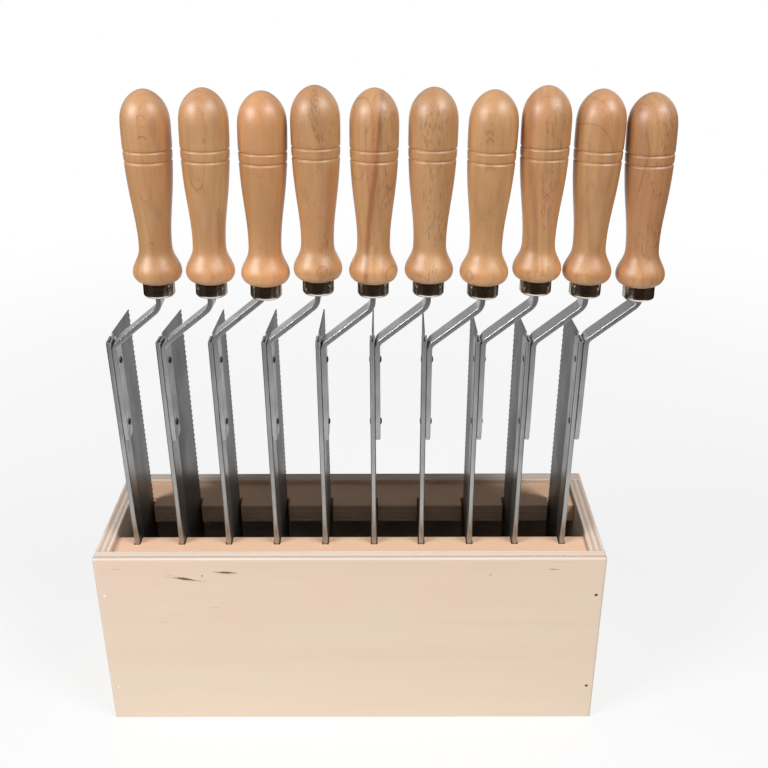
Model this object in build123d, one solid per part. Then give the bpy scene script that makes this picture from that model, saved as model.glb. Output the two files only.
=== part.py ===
from build123d import *
import math
import os

# Open plywood box with two slotted ledges that hold a row of back saws, blade down.
# Origin: centre of the box's underside. X runs along the row, the handles crank
# towards +X, the spines face -Y and the teeth face +Y.
# Lengths are millimetres and angles are degrees.

# Plywood box
rack_depth = 100.0
rack_height = 125.0
panel_thickness = 9.0
rim_radius = 1.0
corner_radius = 1.4

# Slotted ledges below the rim
ledge_thickness = 12.0
ledge_drop = 3.0
ledge_end_gap = 0.4
front_ledge_depth = 18.6
front_slot_length = 7.9
rear_slot_length = 9.7
slot_side_play = 0.6
saw_play = 0.3

# Brads that nail the front and back panels to the side panels
brad_diameter = 1.2
brad_length = 24.0
brad_head_diameter = 2.2
brad_head_thickness = 0.8
brad_sink = 0.4
brad_fit = 0.02
brad_heights = (26.0, 98.0)

# Row of saws: as close as the handles allow
saw_count = 10
handle_gap = 3.2
end_saw_closer = 1.4
end_saw_to_wall = 14.65
row_shift = -0.6
saw_lean = 2.2

# Blade, measured from the front of the spine and from the toe
blade_thickness = 0.8
blade_depth = 52.5
blade_fold_gap = 0.1
toe_corner = 3.0
tooth_pitch = 3.5
tooth_depth = 1.9
tooth_rake_share = 0.3
heel_fall = 2.8
heel_rise = 1.4
heel_nib_y = 10.8
heel_nib_run = 1.5
heel_nib_radius = 1.2

# Folded steel spine
spine_length = 251.0
spine_depth = 13.0
spine_wall = 1.1
spine_nose_radius = 1.2
spine_heel_radius = 4.0
spine_toe_radius = 2.0
fold_hollow_width = 1.5
fold_hollow_length = 3.2
fold_front_wall = 1.0

# Cranked flat bar between the spine and the handle
bar_thickness = 2.8
bar_width = 10.8
bar_inset = 0.2
bar_overlap = 63.5
bar_edge_radius = 0.35
bar_tip_chamfer_y = 3.0
bar_tip_chamfer_z = 2.4
bar_tip_taper_depth = 0.8
bar_tip_taper_length = 12.0
crank_reach = 31.0
crank_rise_angle = 39.6
crank_bend_drop = 1.3
lower_bend_radius = 5.5
upper_bend_radius = 7.5
spike_length = 62.0
spike_root_width = 8.6
spike_tip_width = 3.0
spike_tip_thickness = 1.6
spike_overlap = 1.5
bend_end_spare = 0.5

# Rivets through the bar, the spine and the blade
rivet_diameter = 2.6
rivet_head_diameter = 4.0
rivet_head_height = 0.9
rivet_tail_height = 0.4
upper_rivet_drop = 13.0
lower_rivet_margin = 10.1
rivet_y = 5.9

# Ferrule
ferrule_diameter = 17.1
ferrule_length = 8.2
ferrule_wall = 1.0
ferrule_lip_radius = 1.6
ferrule_mouth_diameter = 13.2
ferrule_mouth_radius = 0.4
ferrule_above_bend = 4.75
ferrule_y = 5.5
handle_rake = 5.2

# Turned handle: diameters and their heights above the ferrule's upper edge
tenon_fit = 0.03
tenon_inset = 0.3
neck_overhang = 0.2
bead_diameter = 26.3
bead_height = 5.7
bead_underside_diameter = 23.6
bead_underside_height = 1.7
cove_diameter = 18.7
cove_height = 15.9
waist_diameter = 17.6
waist_height = 21.9
grip_diameter = 22.8
grip_height = 50.2
swell_diameter = 25.7
swell_height = 81.7
dome_diameter = 21.7
dome_height = 93.2
handle_height = 101.3
groove_heights = (65.5, 70.9)
groove_depth = 0.6
groove_half_width = 0.75

# Small differences between the hand-bent saws, first saw at -X. A saw's turn is about its own
# length, and its bend rise is how far its crank starts above the others.
place_shifts = (-0.2, -0.8, -1.0, -0.85, -0.2, 0.5, 0.1, 0.45, -1.0, 0.1)
saw_turns = (0.6, -3.9, 0.0, -2.2, -0.75, 0.0, -0.8, 0.0, 1.3, 0.7)
bend_rises = (-0.9, -0.45, 4.35, 1.5, -0.8, 0.2, -1.1, 1.25, 0.55, 1.8)
reach_offsets = (-0.4, 0.75, 1.1, 0.05, -0.15, -0.3, 0.2, -0.8, -1.5, -1.25)
rise_offsets = (0.0, 1.1, -1.0, 1.95, 0.35, 0.6, -0.65, 1.2, -0.7, -2.4)
side_leans = (0.45, 0.95, 1.4, 0.35, 0.7, 1.0, 1.6, 0.65, 1.3, -0.7)

# How far each cut runs past the surface that it opens
cut_margin = 1.0

# Places worked out from the sizes above
saw_pitch = max(bead_diameter, swell_diameter) + handle_gap
row_length = (saw_count - 1) * saw_pitch - 2 * end_saw_closer
rack_width = row_length + 2 * (end_saw_to_wall + panel_thickness)
half_width = rack_width / 2
half_depth = rack_depth / 2
inner_width = rack_width - 2 * panel_thickness
inner_front = -half_depth + panel_thickness
inner_back = half_depth - panel_thickness
ledge_top = rack_height - ledge_drop
ledge_bottom = ledge_top - ledge_thickness
ledge_width = inner_width - 2 * ledge_end_gap
spine_thickness = blade_thickness + 2 * spine_wall
slot_width = spine_thickness + 2 * slot_side_play
lean_slope = math.tan(math.radians(saw_lean))
saw_foot_z = panel_thickness + saw_play
front_slot_end = inner_front + front_ledge_depth - front_slot_length
saw_foot_y = front_slot_end + saw_play + (ledge_top - saw_foot_z) * lean_slope
teeth_y_at_ledge = (
    saw_foot_y
    + blade_depth / math.cos(math.radians(saw_lean))
    - (ledge_bottom - saw_foot_z) * lean_slope
)
rear_slot_end = teeth_y_at_ledge + saw_play
rear_ledge_front = rear_slot_end - rear_slot_length
blade_front = fold_front_wall + fold_hollow_length + blade_fold_gap
bar_x = (spine_thickness + bar_thickness) / 2
bar_y = bar_inset + bar_width / 2
crank_bend_z = spine_length - crank_bend_drop
crank_slope = math.tan(math.radians(crank_rise_angle))
upper_bend_reach = upper_bend_radius * math.tan(math.radians(90 - crank_rise_angle) / 2)
ferrule_height = crank_bend_z + (crank_reach - bar_x) * crank_slope + ferrule_above_bend
tenon_radius = ferrule_diameter / 2 - ferrule_wall - tenon_fit
rivet_heights = (spine_length - upper_rivet_drop, spine_length - bar_overlap + lower_rivet_margin)


def per_saw(values, index):
    """The value of one saw, from a tuple that repeats along a longer row."""
    return values[index % len(values)]


def saw_positions():
    """X of each saw's spine: nearly an even row, whose two end saws stand closer."""
    places = [row_shift + (i - (saw_count - 1) / 2) * saw_pitch for i in range(saw_count)]
    places[0] += end_saw_closer
    places[-1] -= end_saw_closer
    return [x + per_saw(place_shifts, i) for i, x in enumerate(places)]


def block(low, high):
    """Box between two corners."""
    size = [b - a for a, b in zip(low, high)]
    centre = [(a + b) / 2 for a, b in zip(low, high)]
    return Pos(*centre) * Box(*size)


def brad_places():
    """Each brad's face point and the sign of its face along Y."""
    x = half_width - panel_thickness / 2
    return [(sx * x, sy * half_depth, z, sy) for sy in (-1, 1) for sx in (-1, 1) for z in brad_heights]


def brad(x, y, z, face, grow=0.0):
    """Brad driven in from the face: thin shank and a flat head just below the surface."""
    head_top = 0.0 if grow else brad_sink
    head_bottom = brad_sink + brad_head_thickness
    head = Pos(0, 0, -(head_top + head_bottom) / 2) * Cylinder(
        brad_head_diameter / 2 + grow, head_bottom - head_top
    )
    shank_top = head_bottom - grow
    shank = Pos(0, 0, -(shank_top + brad_length) / 2) * Cylinder(
        brad_diameter / 2 + grow, brad_length - shank_top
    )
    return Pos(x, y, z) * Rot(-90 * face, 0, 0) * (head + shank)


def brad_holes(board):
    """The board with a fitted hole for every brad."""
    for x, y, z, face in brad_places():
        board = board - brad(x, y, z, face, brad_fit)
    return board


def long_panel(face):
    """Front (face -1) or back (face 1) panel, the full width of the box."""
    outer = face * half_depth
    inner = face * (half_depth - panel_thickness)
    board = block((-half_width, min(outer, inner), 0), (half_width, max(outer, inner), rack_height))
    outer_edges = board.edges().filter_by(Axis.Z).sort_by(Axis.Y)
    corners = outer_edges[:2] if face < 0 else outer_edges[2:]
    board = fillet(corners, corner_radius)
    rims = board.edges().filter_by(Axis.X).group_by(Axis.Z)[-1]
    return brad_holes(fillet(rims, rim_radius))


def side_panel(side):
    """Side panel that stands between the front and back panels."""
    outer = side * half_width
    inner = side * (half_width - panel_thickness)
    board = block((min(outer, inner), inner_front, 0), (max(outer, inner), inner_back, rack_height))
    rims = board.edges().filter_by(Axis.Y).group_by(Axis.Z)[-1]
    return brad_holes(fillet(rims, rim_radius))


def floor_panel():
    return block((-inner_width / 2, inner_front, 0), (inner_width / 2, inner_back, panel_thickness))


def slotted_ledge(front, back, slot_front, slot_back):
    """Ledge board with one open slot for each saw, where the turned saw passes."""
    board = block((-ledge_width / 2, front, ledge_bottom), (ledge_width / 2, back, ledge_top))
    behind_spine = (slot_front + slot_back) / 2 - front_slot_end - saw_play
    for index, x in enumerate(saw_positions()):
        middle = x - math.tan(math.radians(per_saw(saw_turns, index))) * behind_spine
        board = board - block(
            (middle - slot_width / 2, slot_front, ledge_bottom - cut_margin),
            (middle + slot_width / 2, slot_back, ledge_top + cut_margin),
        )
    return board


def front_ledge():
    back = inner_front + front_ledge_depth
    return slotted_ledge(inner_front, back, front_slot_end, back + cut_margin)


def rear_ledge():
    return slotted_ledge(rear_ledge_front, inner_back, rear_ledge_front - cut_margin, rear_slot_end)


def rivet_holes():
    """Bores for the rivets, through the spine, the blade and the bar."""
    length = 4 * (spine_thickness + bar_thickness)
    bore = Rot(0, 90, 0) * Cylinder(rivet_diameter / 2, length)
    return [Pos(0, rivet_y, z) * bore for z in rivet_heights]


def blade():
    """Thin toothed plate; its front edge sits inside the folded spine."""
    heel_z = spine_length - heel_fall
    nib_z = spine_length + heel_rise
    points = [(blade_front, 0), (blade_depth - toe_corner, 0)]
    tooth_count = int((heel_z - toe_corner) / tooth_pitch)
    first_tip = heel_z - tooth_count * tooth_pitch
    for i in range(tooth_count):
        tip = first_tip + i * tooth_pitch
        points.append((blade_depth - tooth_depth, tip - tooth_rake_share * tooth_pitch))
        points.append((blade_depth, tip))
    points.append((blade_depth - tooth_depth, heel_z - tooth_rake_share * tooth_pitch))
    points.append((blade_depth, heel_z))
    points.append((heel_nib_y, nib_z))
    points.append((heel_nib_y - heel_nib_run, spine_length - heel_rise))
    points.append((blade_front, spine_length - heel_rise))
    outline = make_face(Polyline(*points, close=True))
    plate = extrude(Plane.YZ * outline, blade_thickness / 2, both=True)
    nib = plate.edges().filter_by(Axis.X).sort_by_distance((0, heel_nib_y, nib_z))[0]
    plate = fillet(nib, heel_nib_radius)
    for hole in rivet_holes():
        plate = plate - hole
    return plate


def spine():
    """Sheet steel folded into a U, with the hollow of the fold open at both ends."""
    outline = Pos(0, spine_depth / 2) * Rectangle(spine_thickness, spine_depth)
    hollow_y = fold_front_wall + fold_hollow_length / 2
    hollow = Pos(0, hollow_y) * Ellipse(fold_hollow_width / 2, fold_hollow_length / 2)
    gap = Pos(0, (hollow_y + spine_depth) / 2) * Rectangle(blade_thickness, spine_depth - hollow_y)
    fold = extrude(outline - hollow - gap, spine_length)
    nose = fold.edges().filter_by(Axis.Z).group_by(Axis.Y)[0]
    fold = fillet(nose, spine_nose_radius)
    open_edges = fold.edges().filter_by(Axis.X).group_by(Axis.Y)[-1]
    fold = fillet(open_edges.group_by(Axis.Z)[-1], spine_heel_radius)
    open_edges = fold.edges().filter_by(Axis.X).group_by(Axis.Z)[0]
    fold = fillet(open_edges.group_by(Axis.Y)[-1], spine_toe_radius)
    for hole in rivet_holes():
        fold = fold - hole
    return fold


def handle_frame(reach, ferrule_z, side_lean):
    """Frame whose origin is the middle of the ferrule's lower edge, Z along the handle."""
    return Pos(reach, ferrule_y, ferrule_z) * Rot(-handle_rake, side_lean, 0)


def spike(root_height):
    """Tapered end of the bar, driven into the handle along its axis."""
    root = Pos(0, 0, root_height) * Rectangle(bar_thickness, spike_root_width)
    tip = Pos(0, 0, spike_length) * Rectangle(spike_tip_thickness, spike_tip_width)
    return loft([root.face(), tip.face()])


def crank(reach, ferrule_z, side_lean, bend_z):
    """Flat bar riveted along the spine, cranked sideways and up to the handle."""
    bar_bottom = spine_length - bar_overlap
    corner_z = bend_z + (reach - bar_x) * crank_slope
    bar_top = max(ferrule_z + spike_overlap, corner_z + upper_bend_reach + bend_end_spare)
    path = FilletPolyline(
        (bar_x, bar_y, bar_bottom),
        (bar_x, bar_y, bend_z),
        (reach, bar_y, corner_z),
        (reach, bar_y, bar_top),
        radius=[lower_bend_radius, upper_bend_radius],
    )
    section = Plane(origin=path @ 0, x_dir=(1, 0, 0), z_dir=path % 0) * Rectangle(bar_thickness, bar_width)
    bar = sweep(section, path=path)
    long_edges = [e for e in bar.edges().filter_by(Axis.Z) if e.center().X < bar_x + bar_thickness]
    bar = fillet(long_edges, bar_edge_radius)
    bar = bar - bar_tip_cutters(bar_bottom)
    bar = bar + handle_frame(reach, ferrule_z, side_lean) * spike(bar_top - ferrule_z - 2 * spike_overlap)
    for hole in rivet_holes():
        bar = bar - hole
    return bar


def bar_tip_cutters(bar_bottom):
    """Slices off the bar's lower end: a tapered front edge and a clipped rear corner."""
    front = bar_inset
    back = bar_inset + bar_width
    reach_y = 2 * bar_tip_taper_depth
    taper = Polyline(
        (front + bar_tip_taper_depth, bar_bottom),
        (front, bar_bottom + bar_tip_taper_length),
        (front - reach_y, bar_bottom + bar_tip_taper_length),
        (front - reach_y, bar_bottom - cut_margin),
        (front + bar_tip_taper_depth, bar_bottom - cut_margin),
        close=True,
    )
    clip = Polyline(
        (back - bar_tip_chamfer_y, bar_bottom),
        (back, bar_bottom + bar_tip_chamfer_z),
        (back + cut_margin, bar_bottom + bar_tip_chamfer_z),
        (back + cut_margin, bar_bottom - cut_margin),
        (back - bar_tip_chamfer_y, bar_bottom - cut_margin),
        close=True,
    )
    width = 4 * bar_x
    return [extrude(Plane.YZ * make_face(line), width, both=True) for line in (taper, clip)]


def dome_arc(base_x, height):
    """Outline of a rivet head on the plane x = base_x: part of a sphere, round about the X axis."""
    rim = rivet_head_diameter / 2
    sphere = (rim**2 + height**2) / (2 * abs(height))
    side = math.copysign(1, height)
    centre_x = base_x + height - side * sphere
    half_angle = math.asin(rim / sphere) / 2
    middle = (centre_x + side * sphere * math.cos(half_angle), sphere * math.sin(half_angle))
    return ThreePointArc((base_x, rim), middle, (base_x + height, 0))


def rivet(z):
    """Round-headed rivet, headed over the bar and hammered flat on the other side."""
    left = -spine_thickness / 2
    right = spine_thickness / 2 + bar_thickness
    shank = rivet_diameter / 2
    rim = rivet_head_diameter / 2
    sides = Polyline((left, rim), (left, shank), (right, shank), (right, rim))
    axis = Line((right + rivet_head_height, 0), (left - rivet_tail_height, 0))
    head = dome_arc(right, rivet_head_height)
    tail = dome_arc(left, -rivet_tail_height)
    outline = make_face([*sides.edges(), head, axis, tail])
    return Pos(0, rivet_y, z) * revolve(outline, Axis.X)


def ferrule():
    """Pressed steel cap: a short tube whose lower end is rolled in to a round mouth."""
    outer = ferrule_diameter / 2
    mouth = ferrule_mouth_diameter / 2
    face = make_face(
        Polyline(
            (mouth, 0),
            (outer, 0),
            (outer, ferrule_length),
            (outer - ferrule_wall, ferrule_length),
            (outer - ferrule_wall, ferrule_wall),
            (mouth, ferrule_wall),
            close=True,
        )
    )
    cap = revolve(Plane.XZ * face, Axis.Z)
    lower_rings = cap.edges().filter_by(GeomType.CIRCLE).group_by(Axis.Z)[0].sort_by(SortBy.RADIUS)
    cap = fillet(lower_rings[-1], ferrule_lip_radius)
    lower_rings = cap.edges().filter_by(GeomType.CIRCLE).group_by(Axis.Z)[0].sort_by(SortBy.RADIUS)
    return fillet(lower_rings[0], ferrule_mouth_radius)


def handle():
    """Turned handle: tenon in the ferrule, bead, waist, long swell and a domed end."""
    tenon_bottom = ferrule_wall + tenon_inset - ferrule_length
    neck = (ferrule_diameter / 2 + neck_overhang, 0)
    bead = (bead_diameter / 2, bead_height)
    waist = (waist_diameter / 2, waist_height)
    swell = (swell_diameter / 2, swell_height)
    underside = Spline(
        neck, (bead_underside_diameter / 2, bead_underside_height), bead, tangents=[(1, 0.1), (0, 1)]
    )
    cove = Spline(bead, (cove_diameter / 2, cove_height), waist, tangents=[(0, 1), (0, 1)])
    grip = Spline(waist, (grip_diameter / 2, grip_height), swell, tangents=[(0, 1), (0, 1)])
    end = Spline(swell, (dome_diameter / 2, dome_height), (0, handle_height), tangents=[(0, 1), (-1, 0)])
    tenon = Polyline(
        (0, handle_height),
        (0, tenon_bottom),
        (tenon_radius, tenon_bottom),
        (tenon_radius, 0),
        neck,
    )
    turned = revolve(Plane.XZ * make_face([underside, cove, grip, end, *tenon.edges()]), Axis.Z)
    for height in groove_heights:
        turned = turned - groove(turned, height)
    return Pos(0, 0, ferrule_length) * turned


def groove(turned, height):
    """V groove around the handle, as deep as named at the surface that it finds there."""
    slice_at = turned & (Pos(0, 0, height) * Box(2 * swell_diameter, 2 * swell_diameter, groove_depth))
    surface = slice_at.bounding_box().max.X
    half_width_out = 2 * groove_half_width
    depth_out = 2 * groove_depth
    triangle = make_face(
        Polyline(
            (surface - groove_depth, height),
            (surface - groove_depth + depth_out, height + half_width_out),
            (surface - groove_depth + depth_out, height - half_width_out),
            close=True,
        )
    )
    return revolve(Plane.XZ * triangle, Axis.Z)


def saw(index, x):
    """The five nodes of one saw, in the rack's frame."""
    reach = crank_reach + per_saw(reach_offsets, index)
    ferrule_z = ferrule_height + per_saw(rise_offsets, index)
    side_lean = per_saw(side_leans, index)
    turn = Rot(0, 0, per_saw(saw_turns, index))
    place = Pos(x, saw_foot_y, saw_foot_z) * Rot(saw_lean, 0, 0) * turn
    bar = crank(reach, ferrule_z, side_lean, crank_bend_z + per_saw(bend_rises, index))
    grip_place = handle_frame(reach, ferrule_z, side_lean)
    wood = grip_place * handle() - bar
    rivets = [rivet(z) for z in rivet_heights]
    tag = f"{index + 1:02d}"
    return {
        "blade_" + tag: place * blade(),
        "spine_" + tag: place * spine(),
        "crank_" + tag: Compound(children=[place * solid for solid in [*bar.solids(), *rivets]]),
        "ferrule_" + tag: place * grip_place * ferrule(),
        "handle_" + tag: place * wood,
    }


def rack():
    """The nodes of the box."""
    return {
        "front_panel": long_panel(-1),
        "back_panel": long_panel(1),
        "left_panel": side_panel(-1),
        "right_panel": side_panel(1),
        "floor_panel": floor_panel(),
        "front_ledge": front_ledge(),
        "rear_ledge": rear_ledge(),
        "panel_brads": Compound(children=[brad(*place) for place in brad_places()]),
    }


def main():
    os.makedirs("parts", exist_ok=True)
    nodes = rack()
    for index, x in enumerate(saw_positions()):
        nodes.update(saw(index, x))
    for name, shape in nodes.items():
        export_step(shape, os.path.join("parts", name + ".step"))


main()
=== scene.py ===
import math

import bpy
from mathutils import Matrix, Vector


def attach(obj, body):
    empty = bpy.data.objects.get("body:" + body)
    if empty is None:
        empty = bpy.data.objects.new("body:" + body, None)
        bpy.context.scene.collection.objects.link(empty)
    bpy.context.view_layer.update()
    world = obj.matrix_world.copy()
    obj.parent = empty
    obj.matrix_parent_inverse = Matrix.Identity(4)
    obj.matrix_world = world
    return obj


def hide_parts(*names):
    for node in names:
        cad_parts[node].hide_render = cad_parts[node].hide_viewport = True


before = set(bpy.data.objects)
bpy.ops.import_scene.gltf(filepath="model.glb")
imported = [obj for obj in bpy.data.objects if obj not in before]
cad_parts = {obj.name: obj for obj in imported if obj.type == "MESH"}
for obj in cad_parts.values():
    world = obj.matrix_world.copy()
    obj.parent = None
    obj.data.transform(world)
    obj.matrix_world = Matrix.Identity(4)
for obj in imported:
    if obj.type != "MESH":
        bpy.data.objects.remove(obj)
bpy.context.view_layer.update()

# The rack's frame in metres: X along the row of saws, Y from the front panel to the
# back panel, Z up, origin at the centre of the box's underside.
MM = 0.001

# Box and ledges
RACK_WIDTH = 310 * MM
RACK_DEPTH = 100 * MM
RACK_HEIGHT = 125 * MM
PANEL = 9 * MM
LEDGE = 12 * MM
LEDGE_TOP = RACK_HEIGHT - 3 * MM
FRONT_LEDGE_DEPTH = 18.6 * MM
FRONT_SLOT_LENGTH = 7.9 * MM
PANEL_PLIES = 5
LEDGE_PLIES = 7

# Row of saws
SAW_COUNT = 10
SAW_PITCH = 29.5 * MM
END_SAW_CLOSER = 1.4 * MM
ROW_SHIFT = -0.6 * MM
SAW_LEAN = math.radians(2.2)
SAW_PLAY = 0.3 * MM
SAW_FOOT_Z = PANEL + SAW_PLAY
FRONT_SLOT_END = -RACK_DEPTH / 2 + PANEL + FRONT_LEDGE_DEPTH - FRONT_SLOT_LENGTH
SAW_FOOT_Y = FRONT_SLOT_END + SAW_PLAY + (LEDGE_TOP - SAW_FOOT_Z) * math.tan(SAW_LEAN)

# Spine
SPINE_LENGTH = 251 * MM
SPINE_THICKNESS = 3 * MM

# Flat bar riveted to the spine
BAR_THICKNESS = 2.8 * MM
BAR_WIDTH = 10.8 * MM
BAR_FRONT = 0.2 * MM
BAR_X = (SPINE_THICKNESS + BAR_THICKNESS) / 2
BAR_OVERLAP = 63.5 * MM
BAR_BOTTOM = SPINE_LENGTH - BAR_OVERLAP
BAR_TOP_OVERLAP = 1.5 * MM
BAR_CORNER = 0.4 * MM
BAR_CORNER_STEPS = 4
# A second point this far from each rounded corner keeps the flat faces flat under smooth shading
BAR_FLAT_START = 0.12 * MM
BAR_TAPER_DEPTH = 0.8 * MM
BAR_TAPER_LENGTH = 12 * MM
BAR_CLIP_DEPTH = 3 * MM
BAR_CLIP_LENGTH = 2.4 * MM
BAR_TIP_LENGTH = 1 * MM
BAR_TIP_SHARE = 0.82
# Heights above the bar's lower end where its outline gets a ring of points
BAR_RINGS = (1.2 * MM, BAR_CLIP_LENGTH, 4.4 * MM, BAR_TAPER_LENGTH, 20 * MM, 40 * MM)

# Crank of the bar
CRANK_REACH = 31 * MM
CRANK_ANGLE = math.radians(39.6)
BEND_DROP = 1.3 * MM
LOWER_BEND_RADIUS = 5.5 * MM
UPPER_BEND_RADIUS = 7.5 * MM
UPPER_BEND_REACH = UPPER_BEND_RADIUS * math.tan((math.pi / 2 - CRANK_ANGLE) / 2)
BEND_END_SPARE = 0.5 * MM
BEND_STEPS = 14

# Rivets
RIVET_DROPS = (13 * MM, 53.4 * MM)
RIVET_Y = 5.9 * MM
RIVET_SHANK_RADIUS = 1.3 * MM
RIVET_HEAD_RADIUS = 2 * MM
RIVET_HEAD_HEIGHT = 0.9 * MM
RIVET_TAIL_HEIGHT = 0.4 * MM
RIVET_DOME_STEPS = 7
RIVET_TURNING_STEPS = 32

# Ferrule
FERRULE_RADIUS = 8.55 * MM
FERRULE_LENGTH = 8.2 * MM
FERRULE_WALL = 1 * MM
FERRULE_LIP = 1.6 * MM
FERRULE_LIP_STEPS = 8
FERRULE_RIM = 0.25 * MM
FERRULE_MOUTH = 6.6 * MM
FERRULE_MOUTH_ROUND = 0.4 * MM
FERRULE_RISE = 26.7 * MM
FERRULE_Y = 5.5 * MM

# Turned handle: points of its outline as (radius, height above the ferrule's lower edge)
HANDLE_RAKE = math.radians(5.2)
TENON_FIT = 0.03 * MM
TENON_INSET = 0.3 * MM
NECK = (8.75 * MM, 8.2 * MM)
BEAD_UNDERSIDE = (11.8 * MM, 9.9 * MM)
BEAD = (13.15 * MM, 13.9 * MM)
COVE = (9.35 * MM, 24.1 * MM)
WAIST = (8.8 * MM, 30.1 * MM)
GRIP = (11.4 * MM, 58.4 * MM)
SWELL = (12.85 * MM, 89.9 * MM)
DOME = (11.0 * MM, 101.3 * MM)
HANDLE_TOP = (0.0, 109.5 * MM)
GROOVE_HEIGHTS = (73.7 * MM, 79.1 * MM)
GROOVE_DEPTH = 0.6 * MM
GROOVE_HALF_WIDTH = 0.75 * MM
GROOVE_LIP = 0.22 * MM
# Points across half a groove, as (share of its half width, share of its depth)
GROOVE_PROFILE = ((1.0, 0.0), (0.86, 0.14), (0.5, 0.6), (0.2, 0.95), (0.0, 1.0))
BEAD_STEPS = 8
COVE_STEPS = 12
GRIP_STEPS = 26
DOME_STEPS = 12
TURNING_STEPS = 96

# Edges sharper than this stay crisp under smooth shading
TURNED_SHARP = math.radians(40)
BAR_SHARP = math.radians(50)

# Small differences between the hand-bent saws, first saw at -X: lengths in millimetres,
# turns and leans in degrees
PLACE_SHIFTS = (-0.2, -0.8, -1.0, -0.85, -0.2, 0.5, 0.1, 0.45, -1.0, 0.1)
SAW_TURNS = (0.6, -3.9, 0.0, -2.2, -0.75, 0.0, -0.8, 0.0, 1.3, 0.7)
BEND_RISES = (-0.9, -0.45, 4.35, 1.5, -0.8, 0.2, -1.1, 1.25, 0.55, 1.8)
REACH_OFFSETS = (-0.4, 0.75, 1.1, 0.05, -0.15, -0.3, 0.2, -0.8, -1.5, -1.25)
RISE_OFFSETS = (0.0, 1.1, -1.0, 1.95, 0.35, 0.6, -0.65, 1.2, -0.7, -2.4)
SIDE_LEANS = (0.45, 0.95, 1.4, 0.35, 0.7, 1.0, 1.6, 0.65, 1.3, -0.7)


def tag(index):
    return f"{index + 1:02d}"


def saw_x(index):
    """X of a saw's spine: nearly an even row, whose two end saws stand closer."""
    x = ROW_SHIFT + (index - (SAW_COUNT - 1) / 2) * SAW_PITCH
    if index == 0:
        x += END_SAW_CLOSER
    if index == SAW_COUNT - 1:
        x -= END_SAW_CLOSER
    return x + PLACE_SHIFTS[index] * MM


def saw_place(index):
    """Matrix from a saw's own frame, at the front of its spine's foot, to the rack."""
    turn = Matrix.Rotation(math.radians(SAW_TURNS[index]), 4, "Z")
    spot = Matrix.Translation((saw_x(index), SAW_FOOT_Y, SAW_FOOT_Z))
    return spot @ Matrix.Rotation(SAW_LEAN, 4, "X") @ turn


def reach(index):
    return CRANK_REACH + REACH_OFFSETS[index] * MM


def ferrule_z(index):
    return SPINE_LENGTH + FERRULE_RISE + RISE_OFFSETS[index] * MM


def handle_place(index):
    """Matrix from the frame at the middle of the ferrule's lower edge to the rack."""
    lean = Matrix.Rotation(math.radians(SIDE_LEANS[index]), 4, "Y")
    spot = Matrix.Translation((reach(index), FERRULE_Y, ferrule_z(index)))
    return saw_place(index) @ spot @ Matrix.Rotation(-HANDLE_RAKE, 4, "X") @ lean


# Shader helpers

RANGE_INPUTS = ("From Min", "From Max", "To Min", "To Max")
WHITE = (1.0, 1.0, 1.0, 1.0)


def new_material(name):
    """A material with an empty node tree."""
    material = bpy.data.materials.new(name)
    material.use_nodes = True
    material.node_tree.nodes.clear()
    return material


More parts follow.
